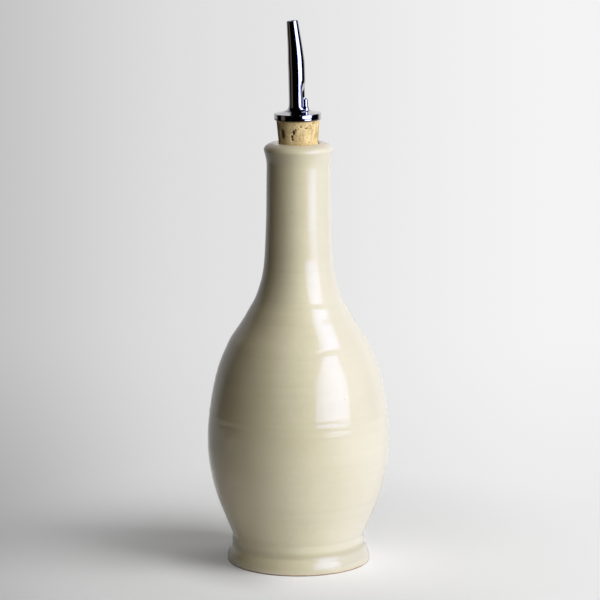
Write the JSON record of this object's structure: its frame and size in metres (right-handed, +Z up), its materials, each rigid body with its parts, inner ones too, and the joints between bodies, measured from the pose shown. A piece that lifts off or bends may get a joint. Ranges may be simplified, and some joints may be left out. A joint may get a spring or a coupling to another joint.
{
  "type": "drizzle bottle",
  "caption": "Thrown stoneware oil bottle with a round belly, slim neck and foot ring, closed by a cork with a slim curved metal pouring spout and air tube.",
  "frame": {"origin": "centre of the foot, on the surface that the bottle stands on", "axes": "+Z up along the bottle's axis; -Y is the front seen by the camera, +X its right; the spout bends towards -X and +Y"},
  "size_m": [0.1082, 0.1082, 0.3225],
  "materials": {
    "glaze": "glossy warm ivory glaze over stoneware, with faint throwing rings and a bare clay edge under the foot",
    "cork": "matt natural cork with small dark pores",
    "chrome": "polished chrome plate"
  },
  "bodies": {
    "root": {"bottle": "glaze", "cork": "cork", "pourer_cap": "chrome", "spout": "chrome", "vent_tube": "chrome"}
  },
  "joints": []
}
